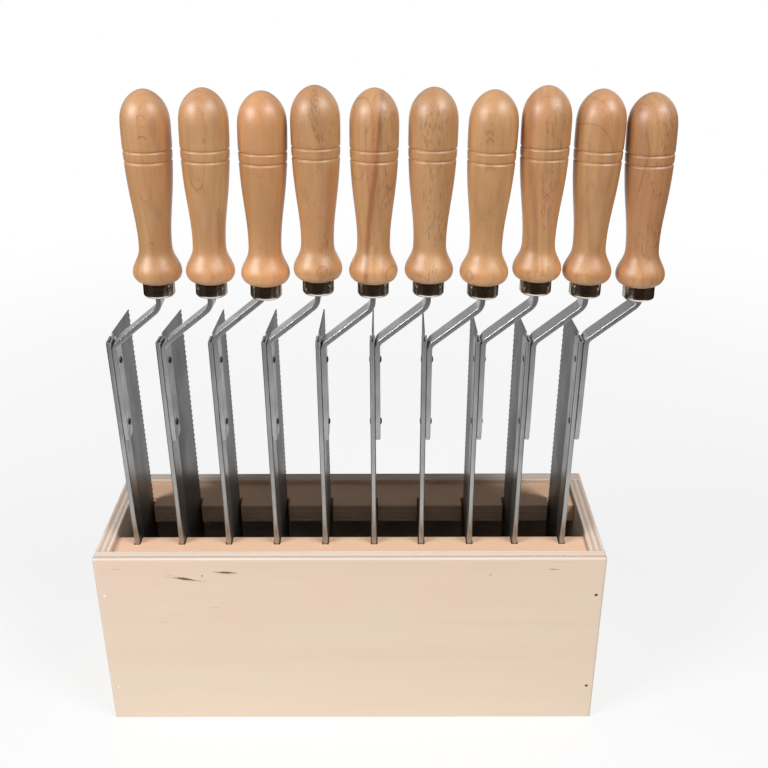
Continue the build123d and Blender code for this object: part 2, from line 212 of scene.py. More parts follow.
class Shader:
    """A principled material, with short forms for building its node tree."""

    def __init__(self, name):
        self.material = new_material(name)
        self.tree = self.material.node_tree
        self.output = self.tree.nodes.new("ShaderNodeOutputMaterial")
        self.bsdf = self.tree.nodes.new("ShaderNodeBsdfPrincipled")
        self.link(self.bsdf.outputs["BSDF"], self.output.inputs["Surface"])
        self.position = self.tree.nodes.new("ShaderNodeTexCoord").outputs["Object"]

    def link(self, source, target):
        self.tree.links.new(source, target)

    def feed(self, socket, value):
        if isinstance(value, bpy.types.NodeSocket):
            self.link(value, socket)
        else:
            socket.default_value = value

    def math(self, operation, *values):
        node = self.tree.nodes.new("ShaderNodeMath")
        node.operation = operation
        for socket, value in zip(node.inputs, values):
            self.feed(socket, value)
        return node.outputs[0]

    def add(self, a, b):
        return self.math("ADD", a, b)

    def sub(self, a, b):
        return self.math("SUBTRACT", a, b)

    def mul(self, a, b):
        return self.math("MULTIPLY", a, b)

    def div(self, a, b):
        return self.math("DIVIDE", a, b)

    def centred(self, noise, width):
        """Noise from 0..1 brought to a width about zero."""
        return self.mul(self.sub(noise, 0.5), width)

    def stretch(self, scale, offset):
        """Object position times a scale for each axis, in patterns per metre."""
        node = self.tree.nodes.new("ShaderNodeMapping")
        node.inputs["Scale"].default_value = scale
        node.inputs["Location"].default_value = offset
        self.link(self.position, node.inputs["Vector"])
        return node.outputs[0]

    def axis(self, name):
        """One coordinate of the object position."""
        node = self.tree.nodes.new("ShaderNodeSeparateXYZ")
        self.link(self.position, node.inputs[0])
        return node.outputs[name]

    def noise(self, scale, offset=(0, 0, 0), detail=3.0, roughness=0.5, distortion=0.0):
        """Noise over the object position, stretched by a scale for each axis."""
        node = self.tree.nodes.new("ShaderNodeTexNoise")
        self.link(self.stretch(scale, offset), node.inputs["Vector"])
        node.inputs["Scale"].default_value = 1.0
        node.inputs["Detail"].default_value = detail
        node.inputs["Roughness"].default_value = roughness
        node.inputs["Distortion"].default_value = distortion
        return node.outputs["Fac"]

    def span(self, value, low, high, out_low=0.0, out_high=1.0, smooth=True):
        """Value from low..high brought to out_low..out_high, clamped."""
        node = self.tree.nodes.new("ShaderNodeMapRange")
        node.interpolation_type = "SMOOTHSTEP" if smooth else "LINEAR"
        self.feed(node.inputs["Value"], value)
        for name, number in zip(RANGE_INPUTS, (low, high, out_low, out_high)):
            self.feed(node.inputs[name], number)
        return node.outputs[0]

    def mix(self, factor, a, b, blend="MIX"):
        node = self.tree.nodes.new("ShaderNodeMix")
        node.data_type = "RGBA"
        node.blend_type = blend
        sockets = [s for s in node.inputs if s.type == "RGBA"]
        self.feed(node.inputs[0], factor)
        self.feed(sockets[0], a)
        self.feed(sockets[1], b)
        return [s for s in node.outputs if s.type == "RGBA"][0]

    def gain(self, color, factors):
        return self.mix(1.0, color, factors, "MULTIPLY")

    def stain(self, color, tone, value, low, high, strength=1.0):
        """Colour with a tone laid over it, more where a value goes from low to high."""
        return self.mix(self.span(value, low, high, 0.0, strength), color, tone)

    def bump(self, height, distance, strength, before=None):
        node = self.tree.nodes.new("ShaderNodeBump")
        node.inputs["Strength"].default_value = strength
        node.inputs["Distance"].default_value = distance
        self.link(height, node.inputs["Height"])
        if before is not None:
            self.link(before, node.inputs["Normal"])
        return node.outputs[0]

    def finish(self, color=None, roughness=None, normal=None, **constants):
        """Wire the shader and set its constant values; returns the material."""
        if color is not None:
            self.feed(self.bsdf.inputs["Base Color"], color)
        if roughness is not None:
            self.feed(self.bsdf.inputs["Roughness"], roughness)
        if normal is not None:
            self.link(normal, self.bsdf.inputs["Normal"])
        for name, value in constants.items():
            label = name.replace("_", " ").title().replace("Ior", "IOR")
            self.bsdf.inputs[label].default_value = value
        return self.material


def srgb(red, green, blue):
    """Linear colour with alpha from 0..255 display values."""
    def linear(value):
        share = value / 255
        return share / 12.92 if share <= 0.04045 else ((share + 0.055) / 1.055) ** 2.4
    return (linear(red), linear(green), linear(blue), 1.0)


# Plywood

FACE_TONE = srgb(227, 206, 184)
FACE_SHADE = srgb(223, 200, 176)
FACE_BLUSH = srgb(228, 202, 184)
FACE_STRAW = srgb(228, 210, 183)
FACE_LOW = srgb(234, 215, 193)
FACE_FIBRE = srgb(208, 178, 150)
FACE_PORE = srgb(186, 150, 120)
FACE_HAIR = srgb(176, 138, 110)
LONG_PLY = srgb(238, 221, 207)
LONG_PLY_FIBRE = srgb(214, 190, 170)
CROSS_PLY = srgb(196, 172, 156)
CROSS_PLY_LIGHT = srgb(216, 194, 177)
CROSS_PLY_PORE = srgb(140, 110, 92)
GLUE_LINE = srgb(128, 98, 82)
FRONT_END_SHADE = srgb(186, 164, 156)
STREAK = srgb(98, 56, 30)
LEDGE_TINT = (1.03, 0.86, 0.74, 1.0)

# Patterns per metre along and across the grain of a veneer
GRAIN_ALONG = 9.0
GRAIN_ACROSS = 260.0

# The panels turn paler from this height down to the second one
FACE_LOW_START = 95 * MM
FACE_LOW_END = 15 * MM

# Darker line at the front panel's two ends, painted shade on its rounded corners mixed with the ply edge's
# mauve tone: its start and its full strength from the end
END_LINE = (0.9 * MM, 0.2 * MM)


def grain(axis, factor=1.0):
    """Noise scale that is drawn out along one axis."""
    return [factor * (GRAIN_ALONG if name == axis else GRAIN_ACROSS) for name in "XYZ"]


def streak_mask(s, x, z, half_length, half_height, tilt):
    """Soft lens-shaped mark on the front face, drawn out along the grain."""
    along = s.sub(s.axis("X"), x)
    across = s.sub(s.sub(s.axis("Z"), z), s.mul(along, math.tan(tilt)))
    across = s.add(across, s.centred(s.noise((500, 500, 1800), detail=2.0), 1.1 * MM))
    u = s.math("ABSOLUTE", s.div(along, half_length))
    v = s.math("ABSOLUTE", s.div(across, half_height))
    return s.span(s.add(s.math("POWER", u, 1.4), v), 1.0, 0.25)


def ply_face(s, grain_axis, fibre, fine):
    """Colour of the outer veneers."""
    cloud = s.noise(grain(grain_axis, 0.12), detail=2.0, distortion=0.8)
    blush = s.noise((16, 16, 22), (4.4, 8.8, 2.2), detail=2.0)
    straw = s.noise(grain(grain_axis, 0.09), (7.4, 1.8, 5.2), detail=2.0, distortion=0.6)
    hairs = s.noise(grain(grain_axis, 1.5), (9.2, 3.3, 6.1), detail=2.0)
    color = s.stain(FACE_TONE, FACE_SHADE, cloud, 0.3, 0.72, 0.8)
    color = s.stain(color, s.mix(0.6, color, FACE_BLUSH), blush, 0.38, 0.62)
    color = s.stain(color, FACE_STRAW, straw, 0.5, 0.7, 0.7)
    color = s.stain(color, FACE_LOW, s.axis("Z"), FACE_LOW_START, FACE_LOW_END, 0.6)
    color = s.stain(color, FACE_FIBRE, fibre, 0.5, 0.8, 0.14)
    color = s.stain(color, FACE_PORE, fine, 0.62, 0.85, 0.1)
    return s.stain(color, FACE_HAIR, hairs, 0.72, 0.83, 0.2)


def ply_edge(s, layer, plies, cross_axis, fibre, glue, stripes):
    """Colour of the edges, where the long and the cross veneers show as stripes."""
    inner = s.math("MINIMUM", s.math("MAXIMUM", layer, 0.001), plies - 0.001)
    parity = s.math("PINGPONG", s.math("FLOOR", inner), 1.0)
    cross = s.noise(grain(cross_axis, 2.2), (5.5, 2.1, 8.4), detail=4.0, roughness=0.7)
    long_color = s.stain(LONG_PLY, LONG_PLY_FIBRE, fibre, 0.3, 0.75, 0.4)
    cross_color = s.stain(CROSS_PLY, CROSS_PLY_LIGHT, cross, 0.3, 0.7)
    cross_color = s.stain(cross_color, CROSS_PLY_PORE, cross, 0.68, 0.82, 0.4)
    contrast = s.span(layer, 0.4 * plies, 0.6 * plies, *stripes)
    color = s.mix(s.mul(parity, contrast), long_color, cross_color)
    return s.mix(s.mul(s.mul(glue, 0.3), contrast), color, GLUE_LINE)


def plywood(name, thickness_axis, low, high, plies, grain_axis, tint=WHITE, stripes=(1.0, 1.0), marks=()):
    """Veneers stacked along one axis; the outer two show as the face, the rest as stripes on the edges.

    The two stripe values are the contrast on the low and the high side of the stack. The
    marks are those of the front panel, which also gets a darker line at its ends: painted
    shade on its rounded corners, with the ply edge's tone.
    """
    s = Shader(name)
    waver = s.noise((45, 45, 45), detail=2.0)
    depth = s.add(s.axis(thickness_axis), s.centred(waver, 0.35 * MM))
    layer = s.mul(s.div(s.sub(depth, low), high - low), float(plies))
    rims = (s.span(layer, 0.35, 0.05), s.span(layer, plies - 0.35, plies - 0.05))
    face = s.math("MAXIMUM", *rims)
    inner = s.math("MINIMUM", s.math("MAXIMUM", layer, 0.001), plies - 0.001)
    between = s.math("ABSOLUTE", s.sub(s.math("FRACT", inner), 0.5))
    glue = s.mul(s.span(between, 0.43, 0.5), s.sub(1.0, face))

    fibre = s.noise(grain(grain_axis), (3.1, 7.7, 1.3), detail=4.0, roughness=0.62)
    fine = s.noise(grain(grain_axis, 5), (1.7, 4.2, 9.5), detail=2.0)
    cross_axis = [axis for axis in "XYZ" if axis not in (grain_axis, thickness_axis)][0]
    edge_color = ply_edge(s, layer, plies, cross_axis, fibre, glue, stripes)
    color = s.mix(face, edge_color, ply_face(s, grain_axis, fibre, fine))
    if marks:
        start, full = (RACK_WIDTH / 2 - inset for inset in END_LINE)
        # Painted shade: a darker line at both ends of the front panel, on its rounded corners, with the
        # ply edge's tone
        color = s.stain(color, FRONT_END_SHADE, s.math("ABSOLUTE", s.axis("X")), start, full, 0.8)
    for *shape, strength in marks:
        color = s.mix(s.mul(streak_mask(s, *shape), strength), color, STREAK)
    color = s.gain(color, tint)

    relief = s.add(s.mul(fibre, 0.6), s.mul(fine, 0.4))
    normal = s.bump(relief, 0.12 * MM, 0.35)
    normal = s.bump(s.sub(1.0, glue), 0.1 * MM, 0.5, normal)
    roughness = s.span(fibre, 0.3, 0.8, 0.52, 0.66)
    return s.finish(color, roughness, normal, specular_ior_level=0.35)


# Dark streaks and specks on the front panel: x, z, half length, half height, tilt and
# strength
FRONT_MARKS = (
    (-100.3 * MM, 110.7 * MM, 9.4 * MM, 1.45 * MM, math.radians(-9), 0.95),
    (-92.2 * MM, 109.2 * MM, 7.5 * MM, 0.5 * MM, math.radians(-4), 0.45),
    (-110.3 * MM, 111.6 * MM, 4.5 * MM, 0.45 * MM, 0.0, 0.3),
    (-75.0 * MM, 115.3 * MM, 9.8 * MM, 1.25 * MM, math.radians(-3), 0.9),
    (-108 * MM, 113.3 * MM, 6 * MM, 0.4 * MM, math.radians(-12), 0.25),
    (-89.4 * MM, 112.9 * MM, 1.0 * MM, 0.8 * MM, 0.0, 0.8),
    (85.1 * MM, 113.4 * MM, 1.3 * MM, 0.7 * MM, math.radians(35), 0.75),
    (123.5 * MM, 117.3 * MM, 5.5 * MM, 0.65 * MM, math.radians(-2), 0.6),
    (-141.2 * MM, 117.9 * MM, 5.0 * MM, 0.5 * MM, math.radians(2), 0.22),
    (-83.3 * MM, 89.1 * MM, 6.0 * MM, 0.6 * MM, math.radians(-4), 0.18),
    (-115 * MM, 77.5 * MM, 4.5 * MM, 0.6 * MM, 0.0, 0.16),
    (-116.3 * MM, 106.9 * MM, 7.0 * MM, 0.6 * MM, math.radians(3), 0.1),
)


def dress(node, material):
    """Give a node of the frame one material."""
    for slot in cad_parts[node].material_slots:
        slot.material = material


def dress_box():
    """Plywood on the box's own panels and ledges, steel on the brads."""
    half_width = RACK_WIDTH / 2
    half_depth = RACK_DEPTH / 2
    front = ("Y", -half_depth, -half_depth + PANEL, PANEL_PLIES, "X")
    back = ("Y", half_depth - PANEL, half_depth, PANEL_PLIES, "X")
    left = ("X", -half_width, -half_width + PANEL, PANEL_PLIES, "Y")
    right = ("X", half_width - PANEL, half_width, PANEL_PLIES, "Y")
    floor = ("Z", 0.0, PANEL, PANEL_PLIES, "X")
    ledge = ("Z", LEDGE_TOP - LEDGE, LEDGE_TOP, LEDGE_PLIES, "X", LEDGE_TINT)
    looks = {
        "front_panel": plywood("ply_front", *front, stripes=(1.0, 0.2), marks=FRONT_MARKS),
        "back_panel": plywood("ply_back", *back, stripes=(0.6, 0.6)),
        "left_panel": plywood("ply_left", *left),
        "right_panel": plywood("ply_right", *right),
        "floor_panel": plywood("ply_floor", *floor),
        "front_ledge": plywood("ply_front_ledge", *ledge),
        "rear_ledge": plywood("ply_rear_ledge", *ledge, (0.35, 0.35)),
        "panel_brads": brad_steel(),
    }
    for node, material in looks.items():
        dress(node, material)


# Metals

SCRATCH = (0.75, 0.75, 0.75, 1.0)
SPECK = (0.08, 0.08, 0.08, 1.0)
# Near white for the brads at the left end: pale dots, brightened as painted light so they show in the
# shade of their sunk holes
BRAD_PALE_DOT = srgb(255, 250, 242)
BRAD_WIRE = srgb(84, 74, 66)
# Painted light on the ferrules' one plating: a brighter neutral lip as a painted highlight, a warm brown
# wall as a painted reflection of brown surroundings, and a low edge tint on the wall as painted shade at
# its edges
NICKEL_LIP_HIGHLIGHT = srgb(236, 226, 220)
NICKEL_WALL_BROWN_REFLECTION = srgb(217, 204, 190)
NICKEL_CLOUD = srgb(198, 183, 169)
NICKEL_EDGE_SHADE = (0.3, 0.3, 0.3, 1.0)
# Height over which the ferrule's lip turns into its wall
NICKEL_LIP_END = (0.9 * MM, 2.0 * MM)


def steel(name, base, patch, drawn_scale, roughness, patch_scale=90.0, relief=0.02 * MM, edge=1.0):
    """Satin steel with faint cloudy patches, a drawn grain and a few fine scratches.

    The edge value is how bright it gets at grazing angles.
    """
    s = Shader(name)
    cloud = s.noise((patch_scale, patch_scale, patch_scale * 0.45), detail=4.0, roughness=0.6)
    drawn = s.noise(drawn_scale, (2.2, 5.1, 0.7), detail=3.0, roughness=0.65)
    speck = s.noise((900, 900, 900), detail=2.0)
    color = s.stain(base, patch, cloud, 0.35, 0.68)
    color = s.stain(color, SCRATCH, drawn, 0.45, 0.75, 0.12)
    color = s.stain(color, SPECK, speck, 0.68, 0.8, 0.18)
    patches = s.span(cloud, 0.3, 0.7, roughness - 0.06, roughness + 0.08)
    rough = s.add(patches, s.span(drawn, 0.3, 0.7, 0.0, 0.05))
    tint = (edge, edge, edge, 1.0)
    return s.finish(color, rough, s.bump(drawn, relief, 0.6), metallic=1.0, specular_tint=tint)


def brad_steel():
    """Dull wire; the brads at the left end are pale dots, painted near white in part as painted light
    against the shade of their sunk holes.
    """
    s = Shader("brad_steel")
    color = s.stain(BRAD_PALE_DOT, BRAD_WIRE, s.axis("X"), -1 * MM, 1 * MM)
    return s.finish(color, 0.6, metallic=0.2)


def nickel():
    """Polished plating: a deep gloss with faint wiping marks round the tube; its rolled lip is painted
    brighter and neutral as a painted highlight, its wall painted warm brown with dimmed edges as painted
    reflection and painted shade.
    """
    s = Shader("ferrule_nickel")
    cloud = s.noise((120, 120, 160), detail=3.0)
    wipe = s.noise((60, 60, 2600), detail=2.0)
    wall = s.stain(NICKEL_WALL_BROWN_REFLECTION, NICKEL_CLOUD, cloud, 0.3, 0.7)
    above_lip = s.span(s.axis("Z"), *NICKEL_LIP_END)
    # Painted light: the lip brighter and neutral, the wall warm brown with darker edges
    color = s.mix(above_lip, NICKEL_LIP_HIGHLIGHT, wall)
    tint = s.mix(above_lip, WHITE, NICKEL_EDGE_SHADE)
    s.feed(s.bsdf.inputs["Specular Tint"], tint)
    rough = s.add(s.span(cloud, 0.3, 0.7, 0.1, 0.17), s.span(wipe, 0.4, 0.8, 0.0, 0.08))
    return s.finish(color, rough, s.bump(wipe, 0.01 * MM, 0.4), metallic=1.0)


# Wood of the handles


def off_centre(s, x, z, place):
    """Distance from a place on a handle's front along x and z, each in its half width there."""
    px, pz, half_x, half_z = (value * MM for value in place)
    return s.div(s.sub(x, px), half_x), s.div(s.sub(z, pz), half_z)


def handle_arc(s, x, z, place, side, width):
    """Part of an ellipse drawn on the front of a handle: a growth ring cut by the turned surface."""
    across, up = off_centre(s, x, z, place)
    out = s.math("SQRT", s.add(s.mul(across, across), s.mul(up, up)))
    off = s.mul(s.math("ABSOLUTE", s.sub(out, 1.0)), place[2] * MM)
    line = s.span(off, width * MM, 0.2 * width * MM)
    if side:
        line = s.mul(line, s.span(s.mul(up, float(side)), -0.25, 0.5))
    return line


def handle_streak(s, x, z, points, width):
    """Soft band down the front of a handle through (height, x) points, highest first."""
    middle = points[0][1] * MM
    for (z0, x0), (z1, x1) in zip(points, points[1:]):
        step = s.span(z, z0 * MM, z1 * MM, 0.0, (x1 - x0) * MM, smooth=False)
        middle = s.add(step, middle)
    off = s.math("ABSOLUTE", s.sub(x, middle))
    band = s.span(off, width * MM, 0.25 * width * MM)
    top, bottom = points[0][0], points[-1][0]
    band = s.mul(band, s.span(z, (top + 2) * MM, (top - 2) * MM))
    return s.mul(band, s.span(z, (bottom - 2) * MM, (bottom + 2) * MM))


# Growth rings that show on the handles' fronts, in millimetres from the ferrule's lower
# edge: (x, z, half widths along x and z), side (1 upper half, -1 lower half, 0 both),
# line width and strength
HANDLE_ARCS = (
    (
        ((0.6, 95.6, 2.0, 2.4), 1, 0.5, 0.5),
        ((0.2, 86.0, 1.9, 1.6), 1, 0.75, 0.9),
        ((0.8, 91.9, 0.9, 0.6), 1, 0.6, 0.35),
        ((-0.6, 60.5, 3.4, 6.5), -1, 0.6, 0.28),
        ((0.2, 64.0, 2.6, 5.0), -1, 0.5, 0.22),
        ((-0.4, 30.0, 1.3, 1.6), 1, 0.45, 0.75),
        ((-0.4, 27.0, 1.2, 1.4), 1, 0.4, 0.6),
        ((-0.2, 24.6, 1.3, 1.2), 1, 0.4, 0.5),
    ),
    (
        ((-2.1, 72.0, 4.3, 12.2), -1, 0.55, 0.5),
        ((-2.0, 73.0, 2.8, 8.0), -1, 0.5, 0.22),
        ((-1.0, 97.0, 4.0, 4.0), 1, 0.5, 0.4),
        ((2.7, 84.8, 0.5, 0.9), 0, 0.5, 0.5),
    ),
    (
        ((-0.6, 70.6, 1.7, 3.0), -1, 0.6, 0.45),
        ((-0.6, 66.5, 2.4, 4.2), -1, 0.5, 0.2),
        ((-1.1, 31.0, 1.0, 1.4), -1, 0.4, 0.4),
    ),
    (
        ((3.7, 15.1, 2.4, 3.2), 0, 0.6, 0.5),
        ((3.7, 15.1, 1.1, 1.6), 0, 0.5, 0.3),
    ),
    (
        ((-5.6, 99.4, 4.6, 5.9), 1, 0.5, 0.55),
        ((8.0, 103.5, 2.2, 1.6), 1, 0.5, 0.4),
        ((-8.6, 71.5, 3.6, 7.0), -1, 0.5, 0.5),
        ((8.6, 63.0, 1.4, 3.4), -1, 0.5, 0.75),
        ((7.3, 50.8, 1.4, 1.8), 1, 0.5, 0.55),
        ((10.0, 14.1, 3.2, 3.8), 0, 0.5, 0.6),
    ),
    (
        ((5.4, 22.0, 2.4, 2.2), 1, 0.4, 0.3),
    ),
    (
        ((-2.6, 88.4, 1.6, 2.0), 1, 0.8, 0.6),
        ((-2.4, 84.4, 1.9, 2.2), 1, 0.9, 0.6),
        ((-1.2, 69.8, 2.6, 3.0), 1, 0.6, 0.4),
        ((-1.3, 48.6, 1.6, 1.0), -1, 0.45, 0.5),
        ((-8.4, 14.1, 1.6, 2.4), 0, 1.0, 0.45),
        ((-3.4, 36.0, 2.6, 9.0), 1, 0.5, 0.25),
    ),
    (
        ((1.2, 53.5, 1.3, 2.4), 1, 0.5, 0.7),
        ((-2.1, 13.6, 4.2, 2.0), 1, 0.6, 0.5),
        ((-1.0, 100.0, 4.8, 5.0), 1, 0.5, 0.3),
    ),
    (
        ((-7.6, 76.0, 12.6, 17.4), 1, 0.5, 0.55),
        ((-6.8, 92.0, 9.6, 13.6), 1, 0.5, 0.4),
        ((-9.5, 78.6, 4.4, 5.4), 1, 0.45, 0.3),
        ((-4.4, 52.0, 3.2, 11.6), 1, 0.6, 0.25),
        ((-3.8, 12.0, 4.6, 3.2), 1, 0.6, 0.45),
        ((-5.0, 92.0, 6.0, 8.6), 1, 0.5, 0.2),
    ),
    (
        ((-7.3, 98.0, 4.4, 6.6), 1, 0.45, 0.4),
        ((-7.3, 97.6, 2.6, 4.6), 1, 0.45, 0.35),
        ((-5.8, 64.0, 3.0, 7.5), -1, 0.5, 0.3),
    ),
)
# Dark streaks down the fronts, in millimetres: (height, x) points, half width; and strength
HANDLE_STREAKS = (
    (),
    (((48.0, 7.6), (28.0, 7.4)), 1.6, 0.22),
    (((100.0, -7.0), (30.0, -7.6)), 2.2, 0.14),
    (((109.0, 0.6), (96.0, 0.2), (84.0, 2.8)), 2.2, 0.2),
    (
        (
            (108.0, 4.2), (97.6, 3.3), (81.8, 2.4), (69.7, 1.4), (55.0, -1.0), (43.7, -1.7), (29.7, -2.9),
            (18.9, -3.5), (9.5, -3.8),
        ),
        1.9,
        0.62,
    ),
    (),
    (((98.0, -2.6), (70.0, -2.2)), 3.0, 0.2),
    (((104.0, -8.8), (84.0, -10.4), (40.0, -3.3), (16.0, -2.6)), 2.4, 0.34),
    (),
    (((92.0, -6.0), (81.5, -3.7), (66.0, -6.5), (60.0, -7.2)), 0.8, 0.45),
)
# Places where the short dark flecks crowd, in millimetres: x, z, half widths along x and
# z; and gain
FLECK_PATCHES = (
    ((4.5, 88, 3, 8, 0.04),),
    ((7.5, 38, 2.5, 14, 0.07), (5, 86, 4, 12, 0.04)),
    ((-0.6, 67, 2, 3, 0.04), (-1, 45, 2.5, 25, 0.03)),
    ((0.5, 98, 3.4, 12, 0.13), (3.4, 85, 2.5, 4, 0.13), (4.5, 28, 3, 8, 0.08), (3.7, 15, 3, 3, 0.07)),
    ((6, 90, 5, 14, 0.07), (5, 60, 5, 14, 0.08), (-2, 90, 3, 14, 0.05)),
    ((0, 92, 9, 12, 0.08), (2, 60, 8, 24, 0.05), (3, 40, 6, 14, 0.06), (0, 15, 9, 5, 0.06)),
    ((-3, 92, 4, 14, 0.07), (-2, 72, 5, 5, 0.05)),
    ((3, 90, 7, 16, 0.07), (1.5, 60, 5, 16, 0.08), (1, 46, 3, 8, 0.08), (-2, 14, 6, 5, 0.08)),
    ((8, 60, 3, 20, 0.04),),
    ((6, 90, 7, 16, 0.09), (2, 70, 8, 14, 0.05), (2, 35, 7, 14, 0.08), (0, 14, 8, 4, 0.05)),
)
# Broad reddish streaks, in the form of the dark ones, by the handle's index
RED_STREAKS = {
    3: (((70.0, 8.6), (42.0, 6.8), (24.0, 3.6)), 2.6, 0.4),
    4: (((100.0, 1.0), (80.0, 0.8), (66.0, 0.2), (52.0, -0.8), (30.0, -2.6)), 3.4, 0.5),
    7: (((102.0, -7.6), (80.0, -8.4), (60.0, -8.0)), 3.0, 0.25),
    9: (((92.0, 6.8), (30.0, 5.4)), 3.4, 0.25),
}
# How much lighter or redder each handle's wood is than the common tone
WOOD_GAINS = (
    (1.04, 1.02, 0.97, 1.0),
    (1.09, 1.08, 1.07, 1.0),
    (1.18, 1.17, 1.11, 1.0),
    (1.02, 1.01, 0.96, 1.0),
    (1.08, 1.08, 1.04, 1.0),
    (1.02, 1.02, 1.02, 1.0),
    (1.15, 1.16, 1.13, 1.0),
    (1.08, 1.06, 1.02, 1.0),
    (1.05, 1.02, 1.0, 1.0),
    (0.97, 0.9, 0.85, 1.0),
)
# How each handle was cut from its board: angle and distance of the pith and tilt of the
# rings; then the strength of its flecks, its rings and its blush
WOOD_CUTS = (
    (2.2, 34 * MM, 0.035, 0.4, 0.6, 0.35),
    (1.4, 42 * MM, -0.03, 0.5, 0.7, 0.3),
    (3.9, 60 * MM, 0.02, 0.3, 0.5, 0.55),
    (1.2, 75 * MM, 0.05, 0.95, 0.5, 0.35),
    (2.6, 48 * MM, 0.06, 0.85, 0.8, 0.3),
    (0.9, 90 * MM, 0.015, 1.0, 0.3, 0.25),
    (4.4, 70 * MM, -0.04, 0.55, 0.6, 0.3),
    (2.9, 64 * MM, 0.03, 0.85, 0.8, 0.5),
    (1.7, 38 * MM, -0.02, 0.35, 0.9, 0.3),
    (3.4, 44 * MM, 0.04, 0.9, 0.8, 0.6),
)
WOOD_TONE = srgb(183, 139, 92)
WOOD_SHADE = srgb(165, 119, 74)
WOOD_BLUSH = srgb(188, 129, 86)
LATE_WOOD = srgb(150, 101, 62)
RING_LINE = srgb(132, 86, 52)
WOOD_FIBRE = srgb(146, 99, 60)
RED_WOOD = srgb(174, 100, 54)
DARK_WOOD = srgb(122, 70, 33)
FLECK = srgb(116, 72, 42)
# Growth rings per metre
RING_DENSITY = 260.0
# The wood is painted paler around the bead, a painted broad highlight: gain, and the distances where it
# fades out and is full
BEAD_HIGHLIGHT_GAIN = (1.2, 1.19, 1.22, 1.0)
BEAD_HIGHLIGHT_FADE = (9 * MM, 2 * MM)


def ring_phase(s, x, z, pith, spin, tilt, waves):
    """Place within a growth ring, 0..1, around a pith beside the handle."""
    u = s.add(s.add(x, pith * math.cos(spin)), s.mul(z, tilt))
    v = s.add(s.axis("Y"), pith * math.sin(spin))
    radius = s.math("SQRT", s.add(s.mul(u, u), s.mul(v, v)))
    for wave, width in waves:
        radius = s.add(radius, s.centred(wave, width))
    return s.math("FRACT", s.mul(radius, RING_DENSITY))


def drawn_marks(s, color, index, x, z, front, fibre, break_up):
    """The streaks and growth rings that show on one handle's front."""
    if index in RED_STREAKS:
        *shape, strength = RED_STREAKS[index]
        band = s.mul(handle_streak(s, x, z, *shape), front)
        color = s.mix(s.mul(band, strength), color, RED_WOOD)
    if HANDLE_STREAKS[index]:
        *shape, strength = HANDLE_STREAKS[index]
        band = s.mul(handle_streak(s, x, z, *shape), front)
        band = s.mul(band, s.span(fibre, 0.3, 0.6, 0.6, 1.0))
        color = s.mix(s.mul(band, strength), color, DARK_WOOD)
    for *shape, strength in HANDLE_ARCS[index]:
        arc = s.mul(handle_arc(s, x, z, *shape), front)
        arc = s.mul(arc, s.span(break_up, 0.3, 0.55, 0.55, 1.0))
        color = s.mix(s.mul(arc, 0.75 * strength), color, DARK_WOOD)
    return color


def fleck_mask(s, index, x, z, front, shift):
    """Short dark flecks, more of them where they crowd on one handle's front."""
    dash = s.noise((1150, 1150, 250), shift, detail=1.5)
    where = s.noise((90, 90, 28), shift, detail=2.0)
    crowd = 0.0
    for *place, gain in FLECK_PATCHES[index]:
        across, up = off_centre(s, x, z, place)
        out = s.add(s.mul(across, across), s.mul(up, up))
        patch = s.mul(s.span(out, 1.3, 0.3, 0.0, gain), front)
        crowd = s.math("MAXIMUM", patch, crowd)
    anywhere = s.span(where, 0.4, 0.62, 0.15, 1.0)
    places = s.math("MAXIMUM", anywhere, s.span(crowd, 0.0, 0.04))
    return s.mul(s.span(s.add(dash, crowd), 0.61, 0.72), places)


def beech(index):
    """Turned beech under clear lacquer, cut from a different place of the board for each handle."""
    spin, pith, tilt, flecks, rings, warm = WOOD_CUTS[index]
    s = Shader("beech_" + tag(index))
    shift = (index * 3.7, index * 1.9, index * 5.3)
    x = s.axis("X")
    z = s.axis("Z")
    front = s.span(s.axis("Y"), 1 * MM, -2 * MM)
    wave = s.noise((22, 22, 11), shift, detail=2.0)
    small_wave = s.noise((170, 170, 60), shift, detail=2.0)
    break_up = s.noise((120, 120, 45), shift, detail=2.0)
    cloud = s.noise((60, 60, 14), shift, detail=3.0, roughness=0.6)
    blush = s.noise((38, 38, 20), [value + 4.1 for value in shift], detail=2.0)
    fibre = s.noise((1100, 1100, 45), shift, detail=3.0, roughness=0.6)

    phase = ring_phase(s, x, z, pith, spin, tilt, ((wave, 7 * MM), (small_wave, 0.8 * MM)))
    line = s.mul(s.span(phase, 0.6, 0.96), s.span(phase, 1.0, 0.97))
    line = s.mul(line, s.span(break_up, 0.42, 0.62))
    late = s.span(phase, 0.2, 0.95)

    color = s.stain(WOOD_TONE, WOOD_SHADE, cloud, 0.34, 0.66)
    color = s.stain(color, WOOD_BLUSH, blush, 0.4, 0.66, warm)
    color = s.mix(s.mul(late, 0.22 * rings), color, LATE_WOOD)
    color = s.mix(s.mul(line, 0.26 * rings), color, RING_LINE)
    color = s.stain(color, WOOD_FIBRE, fibre, 0.45, 0.78, 0.24)
    color = s.gain(color, WOOD_GAINS[index])
    drawn_x = s.add(x, s.centred(small_wave, 1.6 * MM))
    color = drawn_marks(s, color, index, drawn_x, z, front, fibre, break_up)
    thick = fleck_mask(s, index, x, z, front, shift)
    color = s.mix(s.mul(thick, flecks * 0.52), color, FLECK)
    # Painted highlight: paler wood around the bead
    from_bead = s.math("ABSOLUTE", s.sub(z, BEAD[1]))
    color = s.stain(color, s.gain(color, BEAD_HIGHLIGHT_GAIN), from_bead, *BEAD_HIGHLIGHT_FADE)

    relief = s.sub(s.mul(fibre, 0.5), s.mul(thick, 0.6))
    normal = s.bump(relief, 0.02 * MM, 0.25)
    rough = s.span(fibre, 0.3, 0.8, 0.48, 0.56)
    return s.finish(
        color, rough, normal, specular_ior_level=0.55, coat_weight=0.8, coat_roughness=0.42
    )


# Meshes


